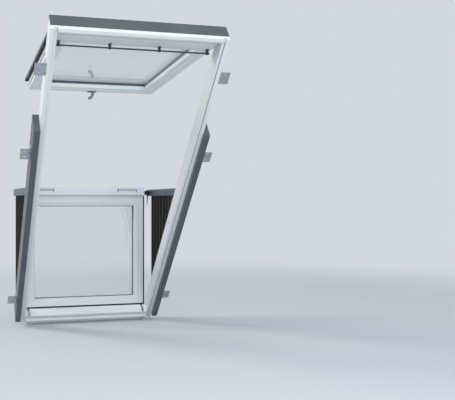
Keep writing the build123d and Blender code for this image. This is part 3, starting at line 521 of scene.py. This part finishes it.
def striker_cap(bm, place, normal, radius, height):
    seated(bm, place, normal, [
        circle(radius, 0),
        circle(radius, 0.7 * height),
        circle(0.9 * radius, height),
        circle(0.45 * radius, height),
        circle(0.4 * radius, 0.6 * height),
    ])


def draw_catches(bm):
    for side in SIDES:
        up_strip(bm, [(side * x, n) for x, n in CATCH_OUTLINE], CATCH_S - CATCH_HALF, CATCH_S + CATCH_HALF)


moulded_black = smooth_skin("moulded_dark_nylon", NYLON_BLACK, rough=0.5, peel=MOULD_SKIN)
fasteners("striker_caps", slope, [(side * FRAME_INNER, *STRIKER) for side in SIDES],
          inward, "frame", STRIKER_CAP, striker_cap)
piece("catch_caps", slope, draw_catches, moulded_black, "frame")

# Sashes: finger-jointed pine members with a stepped glazing bead, lacquered like the frame.
# The stiles run through and the rails butt between them, so a fine joint shows at each corner.
SASH_OPENING = 362.0
upper_tilt = ROOF_PITCH - UPPER_OPEN
upper_upright = lacquered_timber("lacquered_pine_upper_stiles", upper_tilt, SASH_OPENING)
upper_cross = lacquered_timber("lacquered_pine_upper_rails", upper_tilt, SASH_OPENING, upright=False)
lower_upright = lacquered_timber("lacquered_pine_lower_stiles", 90.0, SASH_OPENING)
lower_cross = lacquered_timber("lacquered_pine_lower_rails", 90.0, SASH_OPENING, upright=False)
dress(upper_upright, "upper_stile_left", "upper_stile_right")
dress(upper_cross, "upper_top_rail", "upper_bottom_rail", "vent_flap")
dress(lower_upright, "lower_stile_left", "lower_stile_right")
dress(lower_cross, "lower_top_rail", "lower_bottom_rail")

# Sash gaskets: black rubber bulbs and lips, pressed into grooves in the outer sides of the stiles,
# along the rails and in the flanges of the cladding, where they close the gap to the frame. The seals
# in the flanges also fill the gap beside the lower sash with black, painted shade for the dark line
# there. Zinc plated screws hold the shoes of the upper hinges.
SASH_HALF = 430.0
SASH_ROOM = 50.0
GASKET_N = 74.0
GASKET_HEIGHT = 8.0
GASKET_REACH = 2.4
UPPER_STILE = (945.0, 2425.0)
LOWER_STILE = (70.0, 866.0)
UPPER_FOOT = (933.0, 100.0)
UPPER_FOOT_REACH = 1.4
UPPER_FOOT_INSET = 6.0
LOWER_FOOT = ((60.3, 3.0), (60.3, -1.6), (62.0, -2.4), (66.5, -2.4), (69.0, -0.5), (69.0, 3.0))
LOWER_FOOT_INSET = 0.5
FLANGE_INNER = 450.4
FLANGE_SEAL_N = 118.0
FLANGE_SEAL_REACH = 18.0
FLANGE_SEAL_HEIGHT = 16.0
FLANGE_SEAL_ENDS = (62.0, 860.0)
SHOE_STATIONS = (2446.0, 2456.0)
SHOE_SCREW_N = 102.0
SHOE_SCREW = (2.6, 0.6)


def bulb(edge, middle, reach, height):
    """Half-oval profile that stands out from an edge towards larger values, or smaller with a minus."""
    turn = [pi * i / ARC_STEPS for i in range(ARC_STEPS + 1)]
    return [(edge + reach * sin(a), middle - height / 2 * cos(a)) for a in turn]


def side_gaskets(ends):
    def draw(bm):
        for side in SIDES:
            profile = bulb(side * SASH_HALF, GASKET_N, side * GASKET_REACH, GASKET_HEIGHT)
            up_strip(bm, profile, *ends)
    return draw


def draw_upper_foot(bm):
    cross_strip(bm, bulb(*UPPER_FOOT, -UPPER_FOOT_REACH, GASKET_HEIGHT), SASH_HALF - UPPER_FOOT_INSET)


def draw_lower_foot(bm):
    cross_strip(bm, [(s, SASH_ROOM + n) for s, n in LOWER_FOOT], SASH_HALF - LOWER_FOOT_INSET)


# The flange seals are partly a seal and partly painted shade: they fill the gap beside the sash with
# black.
def draw_flange_seals_and_shade(bm):
    for side in SIDES:
        profile = bulb(side * FLANGE_INNER, FLANGE_SEAL_N, -side * FLANGE_SEAL_REACH, FLANGE_SEAL_HEIGHT)
        up_strip(bm, profile, *FLANGE_SEAL_ENDS)


for name, leaf_matrix, draw, body in (
    ("upper_side_gaskets", upper, side_gaskets(UPPER_STILE), "upper_sash"),
    ("upper_foot_gasket", upper, draw_upper_foot, "upper_sash"),
    ("lower_side_gaskets", lower, side_gaskets(LOWER_STILE), "lower_sash"),
    ("lower_foot_gasket", lower, draw_lower_foot, "lower_sash"),
    ("lower_flange_seals", lower, draw_flange_seals_and_shade, "lower_sash"),
):
    piece(name, leaf_matrix, draw, black_rubber, body)
fasteners("hinge_shoe_screws", upper, [
    (side * SASH_HALF, s, SHOE_SCREW_N) for side in SIDES for s in SHOE_STATIONS
], outward, "upper_sash", SHOE_SCREW)

# Glazing: two panes of float glass in each sash, clear, with the faint green of its iron.
# It is seen through and gives soft reflections, and it lets lamps through without caustics.
GLASS_TINT = "#F8FBFA"
LAMP_TINT = "#FBFDFC"


def float_glass(name):
    """Clear glass that light and soft light pass straight."""
    made, tree, shader = material(name, {
        "Base Color": linear(GLASS_TINT), "Roughness": 0.0, "IOR": 1.5, "Transmission Weight": 1.0,
    })
    rays = add(tree, "LightPath")
    kinds = {0: rays["Is Shadow Ray"], 1: rays["Is Diffuse Ray"]}
    passed = add(tree, "Math", kinds, operation="MAXIMUM")[0]
    clear = add(tree, "BsdfTransparent", {"Color": linear(LAMP_TINT)})[0]
    mixed = add(tree, "MixShader", {0: passed, 1: shader.outputs[0], 2: clear})[0]
    tree.links.new(mixed, tree.nodes["Material Output"].inputs["Surface"])
    return made


dress(float_glass("float_glass"), "upper_panes", "lower_panes")

# Spacer frames between the panes: roll-formed steel strip in a shiny dark grey, with rows of small
# holes to the cavity, painted in as near-black dull spots: painted shade inside the holes.
# The glazing seals are matt slate grey rubber, with a wedge pressed in on the room side.
SPACER_GREY_AND_HOLE_SHADE = ("#5E656D", "#24282C")
SPACER_ROUGH = (0.35, 0.7)
SPACER_HOLE_PITCH = 5.0
HOLE_INNER = 0.16
HOLE_OUTER = 0.2
SLATE_GREY = ("#586779", "#69788C")
UPPER_GLASS = (1018.0, 2318.0)
LOWER_GLASS = (125.0, 793.0)
GLASS_N = 96.0
WEDGE = ((0.0, 8.8), (1.4, 8.2), (3.6, 2.4), (3.6, 0.1), (0.0, 0.1))


def spacer_strip(name):
    """Steel strip with holes painted in as dark spots of painted shade. The hole's edge is given as a
    share of the pitch.
    """
    made, tree, shader = material(name, {"Metallic": 1.0})
    place = add(tree, "TexCoord")["Object"]
    rows = {"Vector": place, "Scale": per_metre(SPACER_HOLE_PITCH), "Randomness": 0.0}
    reach = add(tree, "TexVoronoi", rows, feature="F1")["Distance"]
    hole = add(tree, "MapRange", {
        "Value": reach, "From Min": HOLE_INNER, "From Max": HOLE_OUTER, "To Min": 1.0, "To Max": 0.0,
    })["Result"]
    # Painted shade: the holes take the near-black second colour.
    drift(tree, shader, hole, SPACER_GREY_AND_HOLE_SHADE, SPACER_ROUGH, FULL_BAND)
    return made


def wedge(opening):
    """Sweeps the wedge, given as reach into the opening and distance before the glass, round it."""
    low, high = opening

    def draw(bm):
        corners = []
        for x_way, s_way in ((1, 1), (1, -1), (-1, -1), (-1, 1)):
            edge = low if s_way > 0 else high
            corners.append([
                bm.verts.new((x_way * (SASH_OPENING - reach), edge + s_way * reach, GLASS_N - back))
                for reach, back in WEDGE
            ])
        for ring, following in zip(corners, corners[1:] + corners[:1]):
            for i in range(len(WEDGE)):
                j = (i + 1) % len(WEDGE)
                bm.faces.new((ring[i], ring[j], following[j], following[i]))
    return draw


slate_rubber = rubber("slate_glazing_rubber", SLATE_GREY)
dress(spacer_strip("roll_formed_steel"), "upper_spacer", "lower_spacer")
dress(slate_rubber, "upper_glazing_seals", "lower_glazing_seals")
piece("upper_glazing_wedge", upper, wedge(UPPER_GLASS), slate_rubber, "upper_sash")
piece("lower_glazing_wedge", lower, wedge(LOWER_GLASS), slate_rubber, "lower_sash")

# Cladding of the sashes: pressed aluminium with the same grey coat as the casings.
# Painted screws in its skirts hold it to the timber.
CLADDING_SIDE = 452.0
CLADDING_SCREW_N = 115.0
CLADDING_SCREW = (4.0, 1.6)
UPPER_SCREW_STATIONS = (990.0, 1340.0, 1690.0, 2040.0, 2390.0)
LOWER_SCREW_STATIONS = (100.0, 330.0, 560.0, 830.0)
dress(grey_coat, "upper_cladding", "lower_cladding")
for name, leaf_matrix, stations in (
    ("upper", upper, UPPER_SCREW_STATIONS),
    ("lower", lower, LOWER_SCREW_STATIONS),
):
    fasteners(f"{name}_cladding_screws", leaf_matrix, [
        (side * CLADDING_SIDE, s, CLADDING_SCREW_N) for side in SIDES for s in stations
    ], outward, f"{name}_sash", CLADDING_SCREW, screw, grey_coat)

# Vent flap: lacquered timber board with a control bar of drawn aluminium tube, in a satin dark grey
# paint. Black nylon brackets hold the bar with screws, its ends have push-on caps of the same
# nylon, and a black brush seals the flap.
BAR_PLACE = (2354.0, 30.0)
BAR_BRACKETS = 4
BAR_BRACKET_PITCH = 271.0
BAR_SCREW_RISE = 31.3
BAR_SCREW_N = 46.0
BAR_SCREW = (2.2, 1.2)
BAR_CAP_ENDS = (413.4, 421.4)
BAR_CAP_RADIUS = 5.1
FLAP_LOW = 2342.0
BRUSH = ((-1.9, 50.6), (-0.7, 50.6), (-0.9, 66.0), (-1.9, 66.0))
BRUSH_INSET = 4.0
BAR_GREY = ("#3A3E42", "#44484C")
TO_ROOM = (0, 0, -1)
bar_finish = smooth_skin("painted_bar_aluminium", BAR_GREY, rough=0.38)
dress(bar_finish, "control_bar")
dress(moulded_black, "flap_brackets")


def bar_cap(bm, place, normal, radius, height):
    seated(bm, place, normal, [
        circle(0.94 * radius, 0),
        circle(radius, 0.06 * height),
        circle(radius, 0.8 * height),
        circle(0.85 * radius, 0.95 * height),
        circle(0.5 * radius, height),
    ])


def draw_flap_brush(bm):
    cross_strip(bm, [(FLAP_LOW + s, n) for s, n in BRUSH], SASH_HALF - BRUSH_INSET)


cap_start, cap_end = BAR_CAP_ENDS
fasteners("control_bar_caps", upper, [
    (side * cap_start, *BAR_PLACE) for side in SIDES
], outward, "vent_flap", (BAR_CAP_RADIUS, cap_end - cap_start), bar_cap, moulded_black)
fasteners("bar_bracket_screws", upper, [
    (BAR_BRACKET_PITCH * (index - (BAR_BRACKETS - 1) / 2), FLAP_LOW + BAR_SCREW_RISE, BAR_SCREW_N)
    for index in range(BAR_BRACKETS)
], TO_ROOM, "vent_flap", BAR_SCREW)
piece("flap_brush", upper, draw_flap_brush, black_rubber, "upper_sash")

# Handle: plate and lever of die-cast zinc with one satin grey paint. The lever has a paler copy of
# it, painted light where it catches the light, so it shows as a light hook under a dark plate. Two
# screws hold the plate.
HANDLE_S = 949.0
HANDLE_PLATE_N = 44.0
HANDLE_SCREW_X = 24.0
HANDLE_SCREW = (3.4, 1.4)
PLATE_GREY = ("#5F6467", "#6A6F72")
LEVER_LIT_GREY = ("#7F8386", "#8C9092")
dress(smooth_skin("painted_plate_zinc", PLATE_GREY, rough=0.36), "handle_plate")
# Painted light: the lever's paler grey stands in for the light it catches.
dress(smooth_skin("painted_lever_zinc_lit", LEVER_LIT_GREY, rough=0.3), "handle_lever")
fasteners("handle_plate_screws", upper, [
    (side * HANDLE_SCREW_X, HANDLE_S, HANDLE_PLATE_N) for side in SIDES
], TO_ROOM, "upper_sash", HANDLE_SCREW)

# Latches: trays and levers of white nylon on the transom, moulded with a glossy skin. Stops of black
# nylon stand at both ends of each, and a black strip lies on the lever's upper edge. Together they
# draw a dark U round the lever, painted shade for the shadow gap between lever and tray.
# The stops' outline is given by reach from the latch's middle, the strip's from its upper edge.
LATCH_X = 302.0
LATCH_SHADE_STOP = ((64.9, 12.0), (64.9, 4.2), (65.9, 3.4), (68.7, 3.4), (70.9, 5.6), (70.9, 12.0))
LATCH_LOW = 893.5
LATCH_HIGH = 912.5
LATCH_SHADE_STRIP = ((-3.4, 0.2), (-3.4, -0.9), (-0.6, -0.9), (0.0, 0.2))
LATCH_SHADE_STRIP_HALF = 64.0
LEVER_N = 5.5
NYLON_WHITE = ("#EFF0F0", "#E6E8E9")
white_nylon = smooth_skin("moulded_white_nylon", NYLON_WHITE, rough=0.25, peel=MOULD_SKIN)
dress(white_nylon, "latch_lever_left", "latch_lever_right", "latch_bases")


# Painted shade: black stops at the ends of the shadow gap round the lever.
def draw_latch_shade_stops(bm):
    for side in SIDES:
        for way in SIDES:
            outline = [(side * LATCH_X + way * reach, n) for reach, n in LATCH_SHADE_STOP]
            up_strip(bm, outline, LATCH_LOW, LATCH_HIGH)


# Painted shade: a black strip along the shadow gap above the lever.
def latch_shade_strip(side):
    def draw(bm):
        ends = (side * LATCH_X - LATCH_SHADE_STRIP_HALF, side * LATCH_X + LATCH_SHADE_STRIP_HALF)
        stack(bm, [[(x, LATCH_HIGH + s, LEVER_N + n) for s, n in LATCH_SHADE_STRIP] for x in ends])
    return draw


piece("latch_shade_stops", lower, draw_latch_shade_stops, moulded_black, "lower_sash")
for name, side in (("left", -1), ("right", 1)):
    piece(f"latch_shade_strip_{name}", lower, latch_shade_strip(side), moulded_black, f"latch_{name}")

# Brackets of the handrails: folded sheet steel, screwed to the transom, with a black powder coat
# that shines a little. A washer closes each pin of the handrails.
HANDRAIL_PIVOT = (890.0, 92.0)
RAIL_OUTER = 502.0
RAIL_SCREW_X = (408.0, 432.0)
RAIL_SCREW_S = 889.0
RAIL_SCREW_N = 110.0
RAIL_SCREW = (4.2, 1.8)
RAIL_WASHER = (8.0, 1.2)
POWDER_BLACK = ("#22242A", "#2C2F35")
TO_SKY = (0, 0, 1)
powder_black = smooth_skin("powder_coated_bracket_steel", POWDER_BLACK, rough=0.45)
dress(powder_black, "rail_brackets")
fasteners("rail_bracket_screws", lower, [
    (side * x, RAIL_SCREW_S, RAIL_SCREW_N) for side in SIDES for x in RAIL_SCREW_X
], TO_SKY, "lower_sash", RAIL_SCREW)
fasteners("rail_pin_washers", lower, [(side * RAIL_OUTER, *HANDRAIL_PIVOT) for side in SIDES],
          outward, "lower_sash", RAIL_WASHER, spring_clip)

# Railing: extruded aluminium. The handrails are anodised blue-grey, with fine lines drawn along them
# by the die, and the balusters are dark bronze. Rivets hold the cross pins of the balusters.
# The real lines are finer than a tenth of a millimetre, and they are drawn coarser so that they show.
RAIL_X = 489.0
RAIL_HALF_WIDTH = 13.0
RAIL_BLUE_GREY = ("#434D57", "#4E5862")
BALUSTERS = 9
BALUSTER_PITCH = 83.0
BALUSTER_FIRST = 102.5
BALUSTER_DROP = 10.0
BALUSTER_BRONZE = ("#23211E", "#2D2A27")
PIN_RIVET = (4.0, 0.8)
DIE_LINE = 1.2
DIE_STRETCH = 0.01
DIE_RELIEF = 0.02


def anodised(name, colours, rough):
    """Anodised aluminium with the die's lines along the rail."""
    made, tree, shader = material(name, {"Metallic": 0.6})
    place = add(tree, "TexCoord")["Object"]
    drawn = add(tree, "VectorMath", {0: place, 1: (1, DIE_STRETCH, 1)}, operation="MULTIPLY")[0]
    lines = add(tree, "TexNoise", {
        "Vector": drawn, "Scale": per_metre(DIE_LINE), "Detail": 2.0, "Roughness": 0.55,
    })["Fac"]
    drift(tree, shader, lines, colours, rough)
    relief(tree, shader, lines, DIE_RELIEF)
    return made


def rivet(bm, place, normal, radius, height):
    seated(bm, place, normal, [
        circle(radius, 0),
        circle(0.96 * radius, 0.4 * height),
        circle(0.75 * radius, 0.8 * height),
        circle(0.4 * radius, height),
    ])


rail_finish = anodised("anodised_rail_aluminium", RAIL_BLUE_GREY, rough=(0.31, 0.43))
baluster_finish = anodised("bronze_baluster_aluminium", BALUSTER_BRONZE, rough=(0.37, 0.49))
for name, side in (("left", -1), ("right", 1)):
    dress(rail_finish, f"handrail_{name}")
    dress(baluster_finish, *[f"baluster_{name}_{k + 1}" for k in range(BALUSTERS)])
    pivot_s, pivot_n = HANDRAIL_PIVOT
    pin_places = [
        (side * RAIL_X + way * RAIL_HALF_WIDTH, pivot_s - BALUSTER_DROP,
         pivot_n - BALUSTER_FIRST - k * BALUSTER_PITCH)
        for k in range(BALUSTERS) for way in SIDES
    ]
    fasteners(f"handrail_rivets_{name}", lower, pin_places, away_from(side * RAIL_X), f"handrail_{name}",
              PIN_RIVET, rivet, rail_finish)

# Studio: a pale floor that fades into a plain pale backdrop, a large soft lamp high behind the
# window on the left, and a weaker soft lamp in front of it.
BACKDROP = "#D3D8DD"
FLOOR_GREY = "#CED1D4"
FLOOR_BOUNCE = "#B4B7BA"
AMBIENT = "#DCE8F6"
AMBIENT_LEVEL = 0.74
FLOOR_DROP = 0.004
FADE_START = 2.6
FADE_END = 6.5
FLOOR_HALF = 60.0
DAY_LAMP = (-9.2, 3.6, 7.0)
DAY_POWER = 770.0
DAY_COLOUR = "#FFF8EE"
FRONT_LAMP = (0.2, -5.6, 2.9)
FRONT_POWER = 128.0
FRONT_COLOUR = "#F4F7FF"
LAMP_SIDE = 4.0


def seen_directly(tree):
    """One for what the camera sees, also in metal and through glass, and zero for soft light."""
    rays = add(tree, "LightPath")
    straight_or_mirrored = {0: rays["Is Camera Ray"], 1: rays["Is Glossy Ray"]}
    seen = add(tree, "Math", straight_or_mirrored, operation="MAXIMUM")[0]
    return add(tree, "Math", {0: seen, 1: rays["Is Transmission Ray"]}, operation="MAXIMUM")[0]


floor_mesh = bpy.data.meshes.new("studio_floor")
floor_level = cad_box[0].z - FLOOR_DROP
corners = [(x * FLOOR_HALF, y * FLOOR_HALF, floor_level) for x, y in ((-1, -1), (1, -1), (1, 1), (-1, 1))]
floor_mesh.from_pydata(corners, [], [(0, 1, 2, 3)])
floor = bpy.data.objects.new("studio_floor", floor_mesh)
bpy.context.scene.collection.objects.link(floor)

floor_paint, tree, shader = material("studio_floor_paint", {"Roughness": 0.7, "Specular IOR Level": 0.2})
greys = {0: seen_directly(tree), 6: linear(FLOOR_BOUNCE), 7: linear(FLOOR_GREY)}
tree.links.new(add(tree, "Mix", greys, data_type="RGBA")[2], shader.inputs["Base Color"])
place = add(tree, "TexCoord")["Object"]
flat = add(tree, "VectorMath", {0: place, 1: (1, 1, 0)}, operation="MULTIPLY")[0]
reach = add(tree, "VectorMath", {0: flat}, operation="LENGTH")["Value"]
fade_settings = {"Value": reach, "From Min": FADE_START, "From Max": FADE_END}
fade = add(tree, "MapRange", fade_settings, interpolation_type="SMOOTHSTEP")["Result"]
far = add(tree, "Emission", {"Color": linear(BACKDROP), "Strength": 1.0})[0]
faded = add(tree, "MixShader", {0: fade, 1: shader.outputs[0], 2: far})[0]
tree.links.new(faded, tree.nodes["Material Output"].inputs["Surface"])
floor_mesh.materials.append(floor_paint)

world = bpy.data.worlds.new("studio")
bpy.context.scene.world = world
world.use_nodes = True
tree = world.node_tree
backdrop = add(tree, "Background", {"Color": linear(BACKDROP), "Strength": 1.0})[0]
ambient = add(tree, "Background", {"Color": linear(AMBIENT), "Strength": AMBIENT_LEVEL})[0]
both = add(tree, "MixShader", {0: seen_directly(tree), 1: ambient, 2: backdrop})[0]
tree.links.new(both, tree.nodes["World Output"].inputs["Surface"])


def lamp(name, place, power, colour, mirrored):
    """Square soft lamp turned to the window. It is out of sight, but a mirrored one shows in gloss."""
    data = bpy.data.lights.new(name, "AREA")
    data.size = LAMP_SIDE
    data.energy = power
    data.color = linear(colour)[:3]
    made = bpy.data.objects.new(name, data)
    middle = (cad_box[0] + cad_box[1]) / 2
    made.location = place
    made.rotation_euler = (middle - Vector(place)).to_track_quat("-Z", "Y").to_euler()
    made.visible_camera = False
    made.visible_transmission = False
    made.visible_glossy = mirrored
    bpy.context.scene.collection.objects.link(made)


lamp("day_lamp", DAY_LAMP, DAY_POWER, DAY_COLOUR, True)
lamp("front_lamp", FRONT_LAMP, FRONT_POWER, FRONT_COLOUR, False)

# Camera: level, about as high as the middle of the window and a little to the left of it. It is
# turned just far enough to the left to take in the brackets on that side.
CAMERA_PLACE = (-0.959, -6.076, 0.829)
CAMERA_TURN = 18.6
FOCAL_PIXELS = 834.4
PHOTO_WIDTH = 455
SENSOR_WIDTH = 36.0
camera_data = bpy.data.cameras.new("camera")
camera_data.sensor_width = SENSOR_WIDTH
camera_data.lens = FOCAL_PIXELS / PHOTO_WIDTH * SENSOR_WIDTH
camera = bpy.data.objects.new("camera", camera_data)
camera.location = CAMERA_PLACE
camera.rotation_euler = (radians(90), 0, radians(-CAMERA_TURN))
bpy.context.scene.collection.objects.link(camera)
bpy.context.scene.camera = camera
bpy.context.scene.view_settings.view_transform = "Standard"
